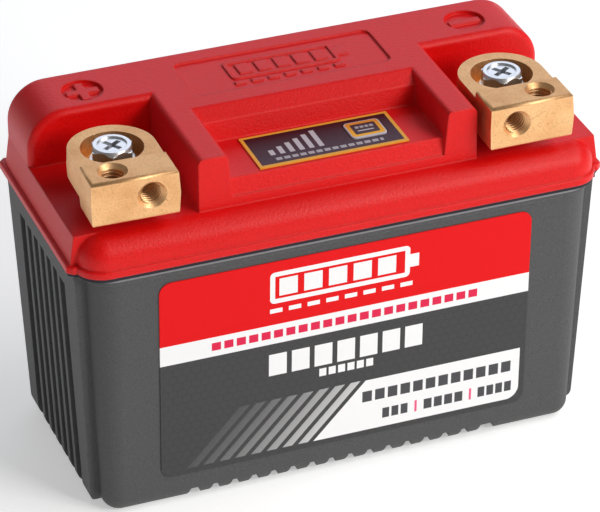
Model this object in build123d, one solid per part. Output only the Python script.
from build123d import *
from math import cos, radians, sin, tan
import os

os.makedirs("parts", exist_ok=True)

# A sealed lithium motorcycle battery. +Z is up, the label faces -Y, the positive terminal is at -X,
# and the origin is on the ground under the middle of the battery. Sizes are in millimetres.

# Overall size
length = 134.0           # over the flanges at the two ends of the lid
width = 65.0             # over the front and rear flanges of the lid
height = 92.0            # ground to the top of the terminal blocks

# Outline seen from above
panel_inset = 6.3        # from the front flange back to the side of an end panel
panel_proud = 1.9        # how far an end panel stands out from the body
panel_chamfer = 1.3
corner_radius = 7.0

# Heights, counted down from the top of the terminal blocks
deck_drop = 1.3          # to the lid's flat deck
well_depth = 15.0        # to the floor of the terminal wells
lid_depth = 24.2         # to the underside of the lid's flange

# Case
wall = 2.3
draft = 2.3              # degrees, on every outer wall of the case
case_step = 0.55         # the front and rear walls stand in from the flange
panel_step = 1.7         # the end panels stand in from the flange
body_step = 2.1          # the body's own end walls stand in from its flange
case_floor = 5.4
foot_radius = 4.0        # the rounding along the bottom edge
rim_bead = 0.3           # the bead round the top of the case
rim_bead_height = 1.3
case_skin = 2.0          # plastic left behind the grooves

# Grooves and ribs on the ends of the case
groove_depth = 2.6
groove_top = 7.2         # below the rim of the case
rib_count = 6
rib_pitch = 5.0
rib_thick = 1.8
outer_groove = 4.1       # the first and last grooves are wider than the others

# Teeth under the case
tooth_count = 15
tooth_pitch = 4.97
tooth_width = 2.1
tooth_slope = 0.75
tooth_height = 2.3
tooth_lift = 0.8         # the teeth end this far above the feet
tooth_shift = -0.6       # the row of teeth is moulded off centre
foot_start = 40.0        # inner edge of each foot from the middle
foot_ramp = 6.0

# Lid
lid_wall = 2.4
flange_thick = 1.8
seal_thick = 1.0
seal_inset = 0.45
band_step = 0.6          # the lid's rolled front stands in from the flange
roll_radius = 6.0
end_step = 0.8           # the end walls of the lid stand in from the flange
end_draft = 8.0
shoulder_radius = 9.5
skirt_depth = 3.0
skirt_thick = 1.5
skirt_gap = 0.2

# Terminals
block_width = 21.3
block_depth = 10.1
block_height = 11.4
block_front_inset = 1.8  # front of a block to the front of the flange
positive_inset = 16.3    # end of the lid to the middle of the terminal
negative_inset = 20.2
positive_turn = -1.5     # degrees, how far this block has swung on its screw
eye_reach = 18.4         # front of the block to the middle of the eye
eye_drop = 1.7           # top of the block to the top of the eye
eye_height = 6.6
eye_bore = 14.9
forging_draft = 3.0
parting_height = 5.7     # parting line above the bottom of a block
thread_bore = 5.0        # M6, at its minor diameter
thread_mouth = 7.15      # the countersink at the mouth of each thread
thread_offset = 3.9      # each thread stands this far from the middle of its block
front_thread_drop = 5.2
front_thread_depth = 8.5
top_thread_depth = 9.0
block_edge = 0.8

# Terminal screws and washers
screw_size = 6.0         # M6
screw_length = 12.0
head_flats = 9.2
head_height = 3.6
head_dish = 7.0
dish_depth = 0.4
cross_width = 1.2
cross_length = 5.0
cross_depth = 1.8
spring_washer_size = 10.6
spring_washer_thick = 1.4
spring_washer_slit = 0.8
flat_washer_size = 12.4
flat_washer_thick = 0.9
web_thick = 1.6          # bottom of the eye
hole_gap = 0.6           # screw holes are this much larger than the screw
thread_gap = 0.1         # a tapped bore is this much larger than its plain screw

# Inserts in the lid
insert_size = 10.8
insert_flange = 13.0
insert_flange_thick = 1.5
insert_length = 13.2
insert_proud = 0.8
insert_tail = 1.5        # the insert ends below its boss
boss_size = 15.0
strap_screw_length = 5.2
strap_screw_head = 9.6
strap_screw_height = 2.2

# Wells, ribs and deck
rib_gap = 1.5            # side of the negative block to the rib beside it
lid_rib = 7.25
eye_room = 8.95          # back of the eye to the rear wall of the well
rib_round = 1.6          # the rounding along the tops of the ribs and wells
logo_length = 50.0
logo_width = 17.0
logo_depth = 0.5
sign_length = 27.6       # the raised battery sign inside the long recess
sign_width = 8.6
sign_line = 1.0
sign_height = 0.35
sign_stud = 2.3
sign_bar_count = 5
sign_bar = 3.2
sign_bar_pitch = 4.8
sign_dash_count = 7
sign_dash = 2.7
sign_dash_pitch = 4.2
logo_margin = 6.5        # to the rear edge of the deck
mark_size = 10.0
mark_depth = 0.9
mark_bar = 8.0
mark_bar_width = 2.1
mark_bar_height = 0.6
mark_shift = 1.35        # middle of a mark, forward of the middle of the deck behind the wells
mark_inset = 18.1        # middle of a mark to the end of the lid

# Display recess
shelf_drop = 7.2         # deck down to the shelf that carries the display
shelf_thick = 2.0
sill_drop = 4.0
sill_set = 1.7
sill_lip = 0.4
riser_height = 4.7
riser_slope = 1.3
bevel_depth = 3.7
recess_draft = 1.0
recess_round = 1.2       # the rounding along the rim of the recess
panel_margin = 8.8       # display to the side of the recess
panel_front = 1.0        # display to the front edge of the shelf
panel_depth = 14.8
panel_thick = 0.4
shelf_rear = 1.3         # display to the foot of the riser
button_length = 9.0
button_width = 7.4
button_proud = 0.3
button_gap = 0.3
button_flange = 0.8
button_flange_thick = 0.6
button_travel = 0.4
button_inset = 7.8       # middle of the button to the right end of the display
button_setback = 8.5     # middle of the button to the front edge of the display
led_count = 6
led_pitch = 2.42
led_inset = 5.1          # first light to the left end of the display
led_setback = 6.2        # the row of lights to the front edge of the display
led_size = 1.6
led_height = 0.9
led_slot = 2.4

# Boards
board_thick = 1.6
switch_size = 6.2
switch_height = 2.6
plunger_size = 3.2
plunger_depth = 1.2      # how far the plunger reaches into the switch
plunger_gap = 0.3
flange_gap = 0.3         # the button's flange sits this far under the shelf
switch_room = 0.2        # left between flange and switch when the button is pressed
display_board_depth = 14.2
display_board_margin = 5.0
board_screw_size = 2.2
board_screw_length = 4.0
board_screw_head = 4.2
board_screw_height = 1.4
board_boss = 5.0
screw_bore_gap = 0.1
balance_length = 74.0
balance_width = 42.0
balance_inset = 3.6      # its screws from its edges
board_lift = 2.0         # underside of the balance board above the links
header_length = 15.2
header_width = 5.0
header_gap = 3.4         # its near end to the middle sense pin
chip_length = 9.0
chip_width = 7.0
chip_height = 1.6
chip_pitch = 18.0
resistor_length = 6.4
resistor_width = 3.2
resistor_height = 0.8
resistor_pitch = 7.6

# Cells
cell_count = 4
cell_gap = 0.67          # each side of a cell to the wall of the tray
cell_edge = 2.4
pad_thick = 1.4
pad_margin = 3.5
head_room = 6.6          # cells to the underside of the lid's flange
tray_thick = 1.6
tray_wall = 1.2
tray_height = 7.5
tray_gap = 0.3           # tray to the walls of the case
frame_thick = 2.6
post_size = 9.0
post_height = 3.0
post_spread = 15.0       # each post from the middle of its cell
vent_size = 9.0
vent_depth = 0.4
link_thick = 1.2
link_width = 12.0
link_overlap = 5.4       # a link or strap reaches this far past the middle of a post
strap_width = 14.0
strap_lap = 2.5          # end of a strap past its sense pin
strap_reach = 6.6        # middle of an insert to the riser of its strap
pin_size = 1.2
fit_gap = 0.1            # radial play where pieces are pressed or moulded together

# Label
label_length = 93.6
label_top = 4.4          # below the flange
label_height = 55.5
label_thick = 0.25
label_radius = 3.0

# Places worked out from the sizes above
half_length = length / 2
half_width = width / 2
panel_half = half_width - panel_inset
deck = height - deck_drop
well_floor = height - well_depth
rim = height - lid_depth
case_top = rim - seal_thick
block_bottom = height - block_height
eye_radius = block_width / 2
eye_top = height - eye_drop
seat = eye_top - eye_height
parting = block_bottom + parting_height
block_front = -half_width + block_front_inset
screw_y = block_front + eye_reach
positive_x = -half_length + positive_inset
negative_x = half_length - negative_inset
rib_outer = negative_x - block_width / 2 - rib_gap
rib_inner = rib_outer - lid_rib
well_rear = screw_y + eye_radius + eye_room
shelf = deck - shelf_drop
shelf_front = -panel_half + sill_set
display_front = shelf_front + panel_front
display_rear = display_front + panel_depth
riser_foot = display_rear + shelf_rear
recess_rear = riser_foot + riser_slope + bevel_depth
display_half = rib_inner - panel_margin
display_mid = (display_front + display_rear) / 2
lean = tan(radians(draft))
case_half_width = half_width - case_step
panel_x = half_length - panel_step
body_x = half_length - panel_proud - body_step
cavity_x = panel_x - groove_depth - case_skin
cavity_y = case_half_width - wall
eye_floor = seat + web_thick
washer_top = eye_floor + flat_washer_thick
head_bottom = washer_top + spring_washer_thick
head_top = head_bottom + head_height
insert_bottom = seat - insert_length
button_x = display_half - button_inset
button_y = display_front + button_setback
shelf_under = shelf - shelf_thick
flange_top = shelf_under - flange_gap
flange_bottom = flange_top - button_flange_thick
switch_top = flange_bottom - button_travel - switch_room
display_board_top = switch_top - switch_height
led_y = display_front + led_setback
floor_lean = lean * (case_top - case_floor)
roll = min(roll_radius, well_floor - rim - flange_thick - 0.3)
tray_x = cavity_x - floor_lean - tray_gap
tray_y = cavity_y - floor_lean - tray_gap
cell_low = case_floor + tray_thick
cell_high = rim - head_room
stack_half = tray_x - tray_wall
cell_width = 2 * (tray_y - tray_wall - cell_gap)
cell_thick = (2 * stack_half - (cell_count + 1) * pad_thick) / cell_count
cell_pitch = cell_thick + pad_thick
post_top = cell_high + post_height
frame_top = cell_high + frame_thick
link_top = post_top + link_thick
balance_low = link_top + board_lift
balance_top = balance_low + board_thick


def lies(shape, x=None, y=None, z=None, slack=0.05):
    """The edges of a shape whose middle has the given places (a number, or a low and high limit)."""
    def fits(value, wanted):
        if wanted is None:
            return True
        low, high = wanted if isinstance(wanted, tuple) else (wanted, wanted)
        return low - slack <= value <= high + slack

    found = []
    for edge in shape.edges():
        middle = edge.center()
        if fits(middle.X, x) and fits(middle.Y, y) and fits(middle.Z, z):
            found.append(edge)
    return found


def column(sketch, bottom, top, taper=0.0):
    """A prism between two heights; with a taper it narrows away from the first of them."""
    rise = top - bottom
    return extrude(Plane.XY.offset(bottom) * sketch, rise, dir=(0, 0, 1), taper=taper)


def tapered_down(sketch, top, bottom, taper):
    """A prism that hangs from a height and narrows downwards."""
    return extrude(Plane.XY.offset(top) * sketch, top - bottom, dir=(0, 0, -1), taper=taper)


def round_box(x_half, y_half, radius):
    return RectangleRounded(2 * x_half, 2 * y_half, radius)


def block(x, y, z):
    """A box from its limits along each axis."""
    middle = ((x[0] + x[1]) / 2, (y[0] + y[1]) / 2, (z[0] + z[1]) / 2)
    return Pos(*middle) * Box(x[1] - x[0], y[1] - y[0], z[1] - z[0])


def rod(x, y, size, bottom, top):
    return Pos(x, y, (bottom + top) / 2) * Cylinder(size / 2, top - bottom)


def along_y(points, y_low, y_high):
    """A prism along Y of an outline given as (x, z) points."""
    face = make_face(Polyline(*[(x, y_low, z) for x, z in points], close=True))
    return extrude(face, y_high - y_low, dir=(0, 1, 0))


def along_x(points, x_low, x_high):
    """A prism along X of an outline given as (y, z) points."""
    face = make_face(Polyline(*[(x_low, y, z) for y, z in points], close=True))
    return extrude(face, x_high - x_low, dir=(1, 0, 0))


# Case: one tapered tub, with a panel of ribs on each end and teeth across the underside.

def case_shell():
    body = tapered_down(round_box(body_x, case_half_width, corner_radius), case_top, 0, draft)
    body = fillet(lies(body, z=0), foot_radius)
    panel = tapered_down(Rectangle(2 * panel_x, 2 * panel_half), case_top, 0, draft)
    panel = fillet(lies(panel, z=0), foot_radius)
    bead_plan = round_box(body_x + rim_bead, case_half_width + rim_bead, corner_radius)
    bead_plan += Rectangle(2 * (panel_x + rim_bead), 2 * (panel_half + rim_bead))
    bead = column(bead_plan, case_top - rim_bead_height, case_top)
    bead = chamfer(lies(bead, z=case_top), rim_bead)
    return body + panel + bead


def groove(side, low, high):
    """One groove on an end panel; its floor leans with the panel and it is open at the bottom."""
    top = case_top - groove_top
    floor_top = panel_x - groove_depth - lean * groove_top
    floor_low = panel_x - groove_depth - lean * (case_top + 1)
    outer = panel_x + 1
    outline = [(side * floor_low, -1), (side * outer, -1), (side * outer, top), (side * floor_top, top)]
    return along_y(outline, low, high)


def end_grooves(side):
    ribs = [(index - (rib_count - 1) / 2) * rib_pitch for index in range(rib_count)]
    walls = [ribs[0] - rib_thick / 2 - outer_groove]
    for rib in ribs:
        walls += [rib - rib_thick / 2, rib + rib_thick / 2]
    walls.append(ribs[-1] + rib_thick / 2 + outer_groove)
    return [groove(side, walls[index], walls[index + 1]) for index in range(0, len(walls), 2)]


def underside_cuts():
    """The gaps between the teeth, the gap before each foot, and the ramps up from the feet."""
    reach = half_width + 1
    first = tooth_shift - (tooth_count - 1) / 2 * tooth_pitch
    edges = [-foot_start]
    for index in range(tooth_count):
        middle = first + index * tooth_pitch
        edges += [middle - tooth_width / 2, middle + tooth_width / 2]
    edges.append(foot_start)
    ceiling = tooth_lift + tooth_height
    ramp = foot_start + foot_ramp
    cuts = [along_y([(-ramp, 0), (-ramp, -1), (ramp, -1), (ramp, 0), (foot_start, tooth_lift),
                     (-foot_start, tooth_lift)], -reach, reach)]
    for index in range(0, len(edges), 2):
        low = edges[index]
        high = edges[index + 1]
        outline = [(low, -1), (high, -1), (high, tooth_lift), (high - tooth_slope, ceiling),
                   (low + tooth_slope, ceiling), (low, tooth_lift)]
        cuts.append(along_y(outline, -reach, reach))
    return cuts


def make_case():
    cavity = tapered_down(round_box(cavity_x, cavity_y, corner_radius - wall), case_top, case_floor, draft)
    solid = case_shell() - cavity
    for cut in end_grooves(-1) + end_grooves(1) + underside_cuts():
        solid -= cut
    return solid


def flange_outline(inset):
    """The plan of the lid's flange, drawn in by a distance all round."""
    body = round_box(half_length - panel_proud - inset, half_width - inset, corner_radius - inset)
    panel = chamfer(Rectangle(length - 2 * inset, 2 * (panel_half + panel_chamfer - inset)).vertices(),
                    panel_chamfer)
    return body + panel


def make_seal():
    inner = round_box(cavity_x, cavity_y, corner_radius - wall)
    ring = flange_outline(seal_inset) - inner
    return column(ring, case_top, rim)


# Lid: flange, rolled front and rear, an upper block with the wells and the display recess cut into it.

def end_profile(inset):
    """The lid's end view, as a face in the XZ plane drawn in by a distance."""
    foot_x = half_length - end_step - inset
    top = deck - inset
    foot = rim + flange_thick / 2
    head_x = foot_x - tan(radians(end_draft)) * (well_floor - foot)
    shoulder = shoulder_radius - inset
    base = Polyline((-head_x, top - shoulder), (-head_x, well_floor), (-foot_x, foot), (foot_x, foot),
                    (head_x, well_floor), (head_x, top - shoulder))
    right = RadiusArc((head_x, top - shoulder), (head_x - shoulder, top), -shoulder)
    ridge = Line((head_x - shoulder, top), (-head_x + shoulder, top))
    left = RadiusArc((-head_x + shoulder, top), (-head_x, top - shoulder), -shoulder)
    return make_face(base + right + ridge + left)


def upper_block(inset, y_low, y_high):
    face = Plane.XZ.offset(-y_high) * end_profile(inset)
    return extrude(face, y_high - y_low, dir=(0, -1, 0))


def well_cut(side):
    """The open well round one terminal: a floor, a rear wall and the rib's side, open at the end."""
    far = side * (half_length + 1)
    near = side * rib_outer
    return block((min(near, far), max(near, far)), (-panel_half - 1, well_rear), (well_floor, height))


def recess_cut():
    """The display's recess: a sloping sill, the shelf, a riser and a bevel up to the deck."""
    sill = shelf - sill_drop
    outline = [(-panel_half - 1, sill), (-panel_half + sill_lip, sill), (shelf_front, shelf),
               (riser_foot, shelf), (riser_foot + riser_slope, shelf + riser_height),
               (recess_rear, deck), (recess_rear, height), (-panel_half - 1, height)]
    sides = [(-rib_inner + recess_draft, sill), (rib_inner - recess_draft, sill),
             (rib_inner, deck), (rib_inner, height), (-rib_inner, height), (-rib_inner, deck)]
    return along_x(outline, -half_length, half_length) & along_y(sides, -half_width, half_width)


def mark_place(side):
    return side * (half_length - mark_inset), (well_rear + panel_half) / 2 - mark_shift


def polarity_marks():
    """Round recesses in the deck, and the raised plus and minus inside them."""
    cuts = []
    bars = []
    for side in (-1, 1):
        x, y = mark_place(side)
        cuts.append(rod(x, y, mark_size, deck - mark_depth, deck + 1))
        low = deck - mark_depth - 0.1
        high = deck - mark_depth + mark_bar_height
        along = Pos(x, y, (low + high) / 2) * Box(mark_bar, mark_bar_width, high - low)
        bars.append(along)
        if side < 0:
            bars.append(Pos(x, y, (low + high) / 2) * Box(mark_bar_width, mark_bar, high - low))
    return cuts, bars


def battery_sign():
    """The plan of the raised sign: an outline with a stud, charge bars inside it and dashes below."""
    sign = round_box(sign_length / 2, sign_width / 2, 1.2)
    sign -= Rectangle(sign_length - 2 * sign_line, sign_width - 2 * sign_line)
    sign += Pos(sign_length / 2 + sign_stud / 2, 0) * Rectangle(sign_stud + sign_line, sign_width / 2.4)
    for index in range(sign_bar_count):
        x = (index - (sign_bar_count - 1) / 2) * sign_bar_pitch
        sign += Pos(x, 0) * Rectangle(sign_bar, sign_width - 4 * sign_line)
    for index in range(sign_dash_count):
        x = (index - (sign_dash_count - 1) / 2) * sign_dash_pitch
        sign += Pos(x, -sign_width / 2 - 2 * sign_line) * Rectangle(sign_dash, 1.3 * sign_line)
    return sign


def skirt_plan(inset):
    """Plan of the skirt that reaches down inside the case, drawn in by a distance."""
    x_half = cavity_x - skirt_gap - inset
    y_half = cavity_y - skirt_gap - inset
    return round_box(x_half, y_half, corner_radius - wall - inset)


def lid_cavities():
    """The hollow underside: the band, the deck behind the wells, and the space under the display."""
    band_x = half_length - panel_proud - band_step - lid_wall
    band_y = half_width - band_step - lid_wall
    band_top = well_floor - lid_wall
    flange_top_z = rim + flange_thick
    band = column(round_box(band_x, band_y, corner_radius - lid_wall), flange_top_z, band_top)
    band = fillet(lies(band, z=band_top), roll - lid_wall)
    mouth = column(skirt_plan(skirt_thick), rim - 1, flange_top_z + 1)
    rear = upper_block(lid_wall, well_rear + lid_wall, panel_half - lid_wall)
    rear = rear & block((-half_length, half_length), (0, half_width), (flange_top_z, height))
    middle = block((-rib_outer + lid_wall, rib_outer - lid_wall), (recess_rear + lid_wall / 2,
                   panel_half - lid_wall), (rim, deck - lid_wall))
    under = block((-rib_inner, rib_inner), (-panel_half + lid_wall, recess_rear + lid_wall),
                  (rim, shelf_under))
    return [band, mouth, rear, middle, under]


def display_screw_places():
    x = display_half + display_board_margin - board_boss / 2
    spread = (display_board_depth - board_boss) / 2
    return [(side * x, display_mid + end * spread) for side in (-1, 1) for end in (-1, 1)]


def led_places():
    return [(-display_half + led_inset + index * led_pitch, led_y) for index in range(led_count)]


def button_hole(bottom, top):
    x_half = button_length / 2 + button_gap
    y_half = button_width / 2 + button_gap
    return Pos(button_x, button_y, 0) * column(round_box(x_half, y_half, 1.2 + button_gap), bottom, top)


def upper_lid():
    """The raised part of the lid with its wells and recess, and rounded edges along them."""
    top = upper_block(0, -panel_half, panel_half)
    top = fillet(lies(top, y=panel_half, z=(rim + 3, height)), 2.5)
    top -= recess_cut()
    top -= well_cut(-1)
    top -= well_cut(1)
    ribs = lies(top, x=-rib_outer, y=(-panel_half, well_rear - 1), z=deck)
    ribs += lies(top, x=rib_outer, y=(-panel_half, well_rear - 1), z=deck)
    walls = [edge for edge in lies(top, y=well_rear) if edge.length > 1 and edge.center().Z > well_floor + 1]
    walls = [edge for edge in walls if abs(edge.center().X) > rib_outer + 1]
    top = fillet(ribs + walls, rib_round)
    rim_edges = lies(top, x=-rib_inner, z=deck) + lies(top, x=rib_inner, z=deck)
    rim_edges += lies(top, x=0, y=recess_rear, z=deck)
    return fillet(rim_edges, recess_round)


def make_lid():
    flange = column(flange_outline(0), rim, rim + flange_thick)
    flange = fillet(lies(flange, z=rim + flange_thick), 0.5)
    band = column(round_box(half_length - panel_proud - band_step, half_width - band_step,
                            corner_radius - band_step), rim + flange_thick / 2, well_floor)
    band = fillet(lies(band, z=well_floor), roll)
    solid = flange + band + upper_lid()
    for cavity in lid_cavities():
        solid -= cavity
    solid += column(skirt_plan(0) - skirt_plan(skirt_thick), rim - skirt_depth, rim + flange_thick / 2)
    for x in (positive_x, negative_x):
        solid += rod(x, screw_y, boss_size, insert_bottom + insert_tail, seat - insert_proud)
        solid -= rod(x, screw_y, insert_size + 2 * fit_gap, rim, height)
        solid -= rod(x, screw_y, insert_flange + 2 * fit_gap, seat - insert_flange_thick, height)
    for x, y in display_screw_places():
        solid += rod(x, y, board_boss, display_board_top, shelf_under + 0.1)
        solid -= rod(x, y, board_screw_size + screw_bore_gap, display_board_top - 1, shelf_under - 0.4)
    first = led_places()[0][0] - led_slot / 2
    last = led_places()[-1][0] + led_slot / 2
    solid -= block((first, last), (led_y - led_slot / 2, led_y + led_slot / 2), (shelf_under - 1, shelf + 1))
    solid -= button_hole(shelf_under - 1, shelf + 1)
    logo_y = panel_half - logo_margin - logo_width / 2
    solid -= Pos(0, logo_y, 0) * column(round_box(logo_length / 2, logo_width / 2, 2.0),
                                        deck - logo_depth, deck + 1)
    sign_low = deck - logo_depth
    solid += Pos(0, logo_y + sign_line, 0) * column(battery_sign(), sign_low - 0.1, sign_low + sign_height)
    cuts, bars = polarity_marks()
    for cut in cuts:
        solid -= cut
    for bar in bars:
        solid += bar
    return solid


# Display: a thin printed panel on the shelf, a test button through it, and the board behind it.

def make_display_panel():
    depth = display_rear - display_front
    plate = Pos(0, display_mid, 0) * column(Rectangle(2 * display_half, depth), shelf, shelf + panel_thick)
    return plate - button_hole(shelf - 1, shelf + 1)


def make_button():
    top = shelf + panel_thick + button_proud
    cap = Pos(button_x, button_y, 0) * column(round_box(button_length / 2, button_width / 2, 1.2),
                                              flange_top, top)
    cap = fillet(lies(cap, z=top), 0.25)
    flange_x = button_length / 2 + button_gap + button_flange
    flange_y = button_width / 2 + button_gap + button_flange
    flange = Pos(button_x, button_y, 0) * column(Rectangle(2 * flange_x, 2 * flange_y),
                                                 flange_bottom, flange_top)
    return cap + flange


def make_plunger():
    return rod(button_x, button_y, plunger_size, switch_top - plunger_depth, flange_bottom)


def make_switch():
    half = switch_size / 2
    body = block((button_x - half, button_x + half), (button_y - half, button_y + half),
                 (display_board_top, switch_top))
    body = fillet(lies(body, z=switch_top), 0.4)
    bottom = switch_top - plunger_depth - button_travel - plunger_gap
    return body - rod(button_x, button_y, plunger_size + 2 * plunger_gap, bottom, switch_top + 1)


def make_display_board():
    x_half = display_half + display_board_margin
    y_half = display_board_depth / 2
    board = block((-x_half, x_half), (display_mid - y_half, display_mid + y_half),
                  (display_board_top - board_thick, display_board_top))
    for x, y in display_screw_places():
        board -= rod(x, y, board_screw_size + hole_gap, 0, height)
    return board


def make_leds():
    half = led_size / 2
    low = display_board_top
    return [block((x - half, x + half), (y - half, y + half), (low, low + led_height))
            for x, y in led_places()]


def small_screw(x, y, seat_z, direction):
    """A pan-head screw whose head sits on seat_z; its shank runs along direction (1 up, -1 down)."""
    head_far = seat_z - direction * board_screw_height
    head = rod(x, y, board_screw_head, min(seat_z, head_far), max(seat_z, head_far))
    head = fillet(lies(head, z=head_far), 0.5)
    tip = seat_z + direction * board_screw_length
    shank = rod(x, y, board_screw_size, min(seat_z, tip), max(seat_z, tip))
    slot = Pos(x, y, head_far) * Box(board_screw_head + 1, 0.6, 1.2)
    return head + shank - slot


def make_header():
    """Board to board connector standing on the balance board under the display board."""
    x = -header_gap - header_length / 2
    return block((x - header_length / 2, x + header_length / 2),
                 (display_mid - header_width / 2, display_mid + header_width / 2),
                 (balance_top, display_board_top - board_thick))


# Terminals: forged brass, widest at the parting line, with an eye at the back for the screw.

def forged(sketch, bottom, top):
    upper = column(sketch, parting, top, taper=forging_draft)
    lower = tapered_down(sketch, parting, bottom, forging_draft)
    return upper, lower


def make_terminal(outward):
    """A terminal at rest square to the battery; its top thread stands to the outward side."""
    block_plan = Pos(0, -eye_reach + block_depth / 2) * Rectangle(block_width, block_depth)
    upper, lower = forged(block_plan, block_bottom, height)
    upper = fillet(lies(upper, z=height), block_edge)
    lower = fillet(lies(lower, z=block_bottom), block_edge)
    eye_front = -eye_reach + block_depth - 1
    eye_plan = Pos(0, eye_front / 2) * Rectangle(block_width, -eye_front) + Circle(eye_radius)
    eye_upper, eye_lower = forged(eye_plan, seat, eye_top)
    solid = upper + lower + eye_upper + eye_lower
    solid -= rod(0, 0, eye_bore, eye_floor, height + 1)
    solid -= rod(0, 0, screw_size + hole_gap, seat - 1, height)
    mouth = (thread_mouth - thread_bore) / 2
    x = outward * thread_offset
    y = -eye_reach + block_depth / 2
    solid -= rod(x, y, thread_bore, height - top_thread_depth, height + 1)
    solid -= Pos(x, y, height - mouth / 2) * Cone(thread_bore / 2, thread_mouth / 2, mouth)
    front = -eye_reach
    level = height - front_thread_drop
    drill = Rot(90, 0, 0) * Cylinder(thread_bore / 2, front_thread_depth + 1)
    solid -= Pos(-x, front + (front_thread_depth - 1) / 2, level) * drill
    sink = Rot(90, 0, 0) * Cone(thread_bore / 2, thread_mouth / 2, mouth)
    return solid - Pos(-x, front + mouth / 2, level) * sink


def place(shape, x, turn=0):
    return Pos(x, screw_y, 0) * Rot(0, 0, turn) * shape


def make_screw():
    """Hexagon screw with a dished head and a cross recess, standing at its place on the washers."""
    hexagon = RegularPolygon(head_flats / 2, 6, major_radius=False)
    head = column(hexagon, head_bottom, head_top)
    crown = Pos(0, 0, (head_bottom + head_top) / 2) * Cone(
        head_flats * 0.66, head_flats * 0.66 - head_height * 0.45, head_height)
    flare = Pos(0, 0, head_bottom - 1) * Cylinder(head_flats, 1)
    solid = head & (crown + flare + rod(0, 0, 2 * head_flats, head_bottom, head_top - 0.9))
    solid -= rod(0, 0, head_dish, head_top - dish_depth, head_top + 1)
    for turn in (20, 110):
        arm = Rot(0, 0, turn) * Box(cross_length, cross_width, cross_depth + dish_depth)
        solid -= Pos(0, 0, head_top - (cross_depth + dish_depth) / 2) * arm
    shank = rod(0, 0, screw_size, head_bottom - screw_length, head_bottom)
    shank = chamfer(lies(shank, z=head_bottom - screw_length), 0.6)
    return Rot(0, 0, 13) * (solid + shank)


def ring(outer, inner, bottom, top):
    return rod(0, 0, outer, bottom, top) - rod(0, 0, inner, bottom - 1, top + 1)


def make_spring_washer():
    washer = ring(spring_washer_size, screw_size + hole_gap, washer_top, head_bottom)
    slit = Rot(0, 0, 35) * Pos(spring_washer_size / 2, 0, (washer_top + head_bottom) / 2)
    return washer - slit * Rot(25, 0, 0) * Box(spring_washer_size, spring_washer_slit, 4)


def make_flat_washer():
    washer = ring(flat_washer_size, screw_size + hole_gap, eye_floor, washer_top)
    return fillet(lies(washer, z=washer_top), 0.2)


def make_insert():
    """Brass insert moulded into the lid, tapped right through for the two screws that meet in it."""
    flange = rod(0, 0, insert_flange, seat - insert_flange_thick, seat)
    body = rod(0, 0, insert_size, insert_bottom, seat)
    return flange + body - rod(0, 0, screw_size + thread_gap, insert_bottom - 1, seat + 1)


def make_strap_screw():
    strap_low = insert_bottom - link_thick
    head = rod(0, 0, strap_screw_head, strap_low - strap_screw_height, strap_low)
    head = fillet(lies(head, z=strap_low - strap_screw_height), 0.5)
    shank = rod(0, 0, screw_size, strap_low, strap_low + strap_screw_length)
    slot = Pos(0, 0, strap_low - strap_screw_height) * Box(strap_screw_head + 1, 1.2, 1.6)
    return head + shank - slot


# Cells, stacked along the battery in a tray, with a frame over them that carries the balance board.

def cell_middle(index):
    return (index - (cell_count - 1) / 2) * cell_pitch


def post_places(index):
    return [(cell_middle(index), side * post_spread) for side in (-1, 1)]


def make_cell(index):
    plan = Pos(cell_middle(index), 0) * round_box(cell_thick / 2, cell_width / 2, cell_edge)
    can = column(plan, cell_low, cell_high)
    can = fillet(lies(can, z=cell_high), 0.6)
    for x, y in post_places(index):
        can += rod(x, y, post_size, cell_high - 0.1, post_top)
    return can - rod(cell_middle(index), 0, vent_size, cell_high - vent_depth, cell_high + 1)


def make_pads():
    pads = []
    for index in range(cell_count + 1):
        x = (index - cell_count / 2) * cell_pitch
        pads.append(block((x - pad_thick / 2, x + pad_thick / 2),
                          (-cell_width / 2 + pad_margin, cell_width / 2 - pad_margin),
                          (cell_low, cell_high - pad_margin)))
    return pads


def make_tray():
    plan = round_box(tray_x, tray_y, corner_radius - wall)
    inner = round_box(tray_x - tray_wall, tray_y - tray_wall, corner_radius - wall - tray_wall)
    return column(plan, case_floor, case_floor + tray_height) - column(inner, cell_low, cell_high)


def balance_screw_places():
    """Three screws: two halfway between the middle link and the straps, and one at the rear."""
    link_end = cell_pitch / 2 + link_overlap
    x = (link_end + strap_tab() - strap_lap) / 2
    y = balance_width / 2 - balance_inset
    return [(-x, -y), (x, -y), (0, y)]


def make_frame():
    plate = column(round_box(stack_half, cell_width / 2, cell_edge), cell_high, frame_top)
    for index in range(cell_count):
        for x, y in post_places(index):
            plate -= rod(x, y, post_size + 2.0, cell_high - 1, frame_top + 1)
        plate -= rod(cell_middle(index), 0, vent_size + 3.0, cell_high - 1, frame_top + 1)
    for x, y in balance_screw_places():
        plate += rod(x, y, board_boss, frame_top - 0.1, balance_low)
        plate -= rod(x, y, board_screw_size + screw_bore_gap, frame_top - 1.4, balance_low + 1)
    return plate


def link_ends():
    """The three links step from cell to cell, alternately along the rear and the front posts."""
    ends = []
    for index in range(cell_count - 1):
        side = 1 if index % 2 == 0 else -1
        ends.append((cell_middle(index), cell_middle(index + 1), side * post_spread))
    return ends


def make_links():
    links = []
    for low, high, y in link_ends():
        plan = Pos((low + high) / 2, y) * round_box((high - low) / 2 + link_overlap, link_width / 2, 2.0)
        link = column(plan, post_top, link_top)
        links.append(link - Pos((low + high) / 2, y, 0) * rod(0, 0, pin_size + 0.2, 0, height))
    return links


def strap_tab():
    """Where the strap's tab ends under the balance board, measured from the middle of the case."""
    return balance_length / 2 - balance_inset


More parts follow.
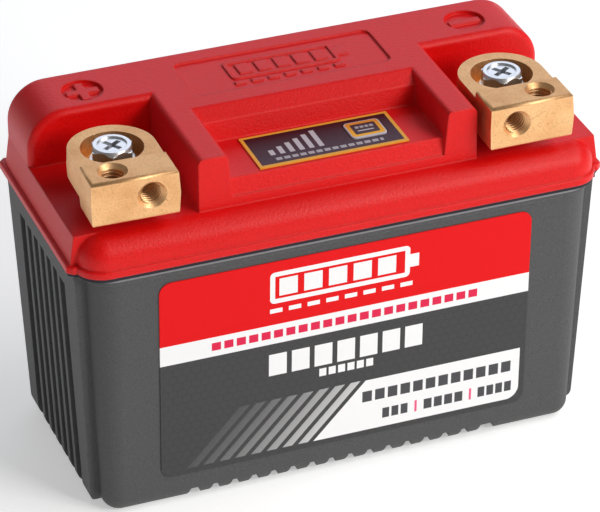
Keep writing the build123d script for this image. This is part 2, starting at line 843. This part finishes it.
def make_strap(side, x):
    """A bent copper strap: welded to the end cell's post, up, and back under the insert."""
    outer = abs(x) + strap_reach
    top_low = insert_bottom - link_thick
    inner = abs(x) - strap_width / 2
    outline = [(strap_tab() - strap_lap, post_top), (outer, post_top), (outer, insert_bottom),
               (inner, insert_bottom), (inner, top_low), (outer - link_thick, top_low),
               (outer - link_thick, link_top), (strap_tab() - strap_lap, link_top)]
    middle = (screw_y - post_spread) / 2
    strap = along_y([(side * px, pz) for px, pz in outline], middle - strap_width / 2,
                    middle + strap_width / 2)
    bends = lies(strap, x=side * outer)
    bends = [edge for edge in bends if abs(edge.center().Y - middle) < 1 and edge.length > strap_width - 1]
    strap = fillet(bends, 1.6)
    hole = rod(x, screw_y, screw_size + hole_gap, top_low - 1, insert_bottom + 1)
    return strap - hole - rod(side * strap_tab(), -post_spread, pin_size + 0.2, 0, height)


def pin_places():
    places = [((low + high) / 2, y) for low, high, y in link_ends()]
    return places + [(-strap_tab(), -post_spread), (strap_tab(), -post_spread)]


def make_pins():
    return [rod(x, y, pin_size, post_top + 0.1, balance_top + 1.0) for x, y in pin_places()]


def make_balance_board():
    plan = round_box(balance_length / 2, balance_width / 2, 2.0)
    board = column(plan, balance_low, balance_top)
    for x, y in balance_screw_places():
        board -= rod(x, y, board_screw_size + hole_gap, 0, height)
    for x, y in pin_places():
        board -= rod(x, y, pin_size + 0.2, 0, height)
    return board


def make_chips():
    chips = []
    for index in range(3):
        x = (index - 1) * chip_pitch
        chip = block((x - chip_length / 2, x + chip_length / 2), (8 - chip_width / 2, 8 + chip_width / 2),
                     (balance_top, balance_top + chip_height))
        chips.append(chamfer(lies(chip, z=balance_top + chip_height), 0.3))
    return chips


def make_resistors():
    parts = []
    for index in range(8):
        x = (index - 3.5) * resistor_pitch
        parts.append(block((x - resistor_length / 2, x + resistor_length / 2),
                           (-3 - resistor_width / 2, -3 + resistor_width / 2),
                           (balance_top, balance_top + resistor_height)))
    return parts


# Label: a thin printed sheet on the leaning front wall.

def make_label():
    top = rim - label_top
    wall_y = -case_half_width + lean * (case_top - top)
    slope = radians(draft)
    front = Plane(origin=(0, wall_y, top), x_dir=(1, 0, 0), z_dir=(0, -cos(slope), -sin(slope)))
    sheet = RectangleRounded(label_length, label_height, label_radius, align=(Align.CENTER, Align.MAX))
    return extrude(front * sheet, label_thick)


def group(solids):
    return Compound(children=list(solids))


nodes = {
    "case": make_case(),
    "lid_seal": make_seal(),
    "lid": make_lid(),
    "front_label": make_label(),
    "display_panel": make_display_panel(),
    "test_button": make_button(),
    "switch_plunger": make_plunger(),
    "tact_switch": make_switch(),
    "display_board": make_display_board(),
    "charge_leds": group(make_leds()),
    "display_board_screws": group(
        [small_screw(x, y, display_board_top - board_thick, 1) for x, y in display_screw_places()]),
    "board_header": make_header(),
    "positive_terminal": place(make_terminal(-1), positive_x, positive_turn),
    "negative_terminal": place(make_terminal(1), negative_x),
    "positive_flat_washer": place(make_flat_washer(), positive_x),
    "negative_flat_washer": place(make_flat_washer(), negative_x),
    "positive_spring_washer": place(make_spring_washer(), positive_x),
    "negative_spring_washer": place(make_spring_washer(), negative_x),
    "positive_screw": place(make_screw(), positive_x),
    "negative_screw": place(make_screw(), negative_x),
    "positive_insert": place(make_insert(), positive_x),
    "negative_insert": place(make_insert(), negative_x),
    "strap_screws": group([place(make_strap_screw(), x) for x in (positive_x, negative_x)]),
    "positive_strap": make_strap(-1, positive_x),
    "negative_strap": make_strap(1, negative_x),
    "cell_pads": group(make_pads()),
    "cell_tray": make_tray(),
    "cell_frame": make_frame(),
    "cell_links": group(make_links()),
    "sense_pins": group(make_pins()),
    "balance_board": make_balance_board(),
    "balance_board_screws": group(
        [small_screw(x, y, balance_top, -1) for x, y in balance_screw_places()]),
    "board_chips": group(make_chips()),
    "balance_resistors": group(make_resistors()),
}
for index in range(cell_count):
    nodes[f"cell_{index + 1}"] = make_cell(index)

for name, shape in nodes.items():
    export_step(shape, f"parts/{name}.step")
